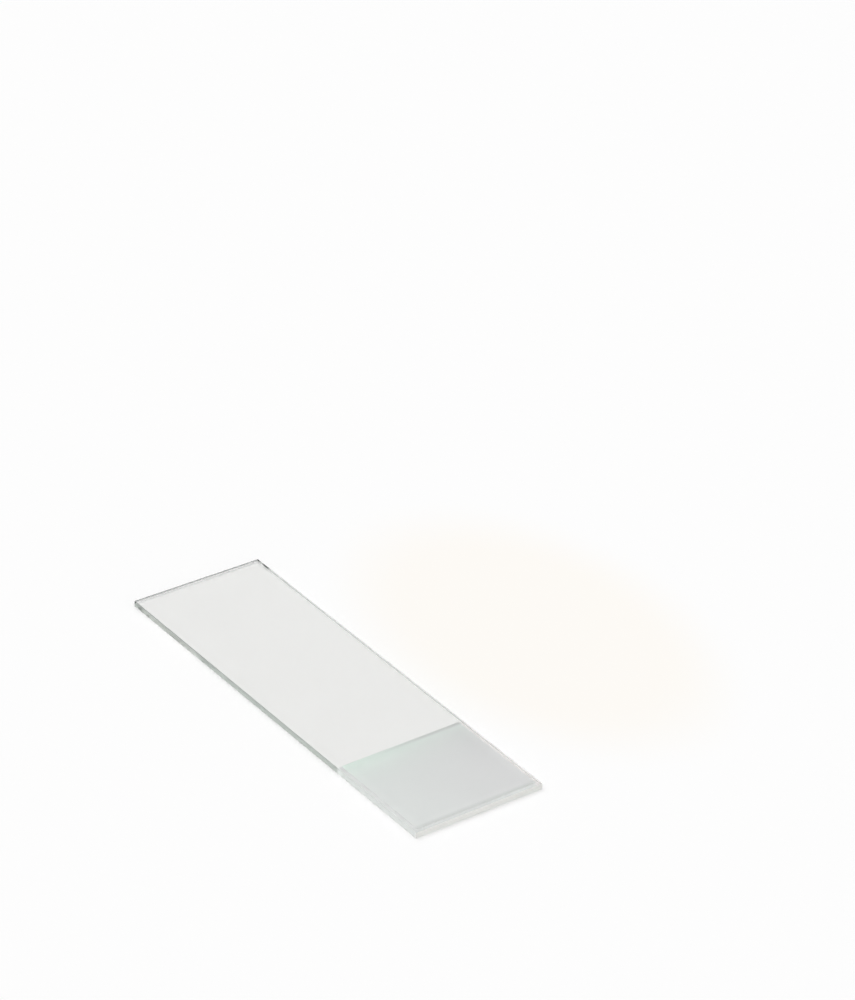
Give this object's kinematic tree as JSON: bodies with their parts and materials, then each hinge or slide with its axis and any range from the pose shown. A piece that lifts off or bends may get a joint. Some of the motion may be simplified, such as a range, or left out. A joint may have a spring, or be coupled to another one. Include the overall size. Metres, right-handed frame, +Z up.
{
  "type": "microscope slide",
  "caption": "Flat rectangular glass slide with sharp cut edges and a frosted panel for writing at one end, made to carry a specimen on a microscope stage.",
  "frame": {"origin": "centre of the underside", "axes": "+X along the slide to its frosted end, +Y across it, +Z up through the frosted face"},
  "size_m": [0.075, 0.025, 0.001],
  "materials": {
    "clear_glass": "clear soda-lime glass with snapped edges, frosted in the panel at one end"
  },
  "bodies": {
    "root": {"glass_slide": "clear_glass"}
  },
  "joints": []
}
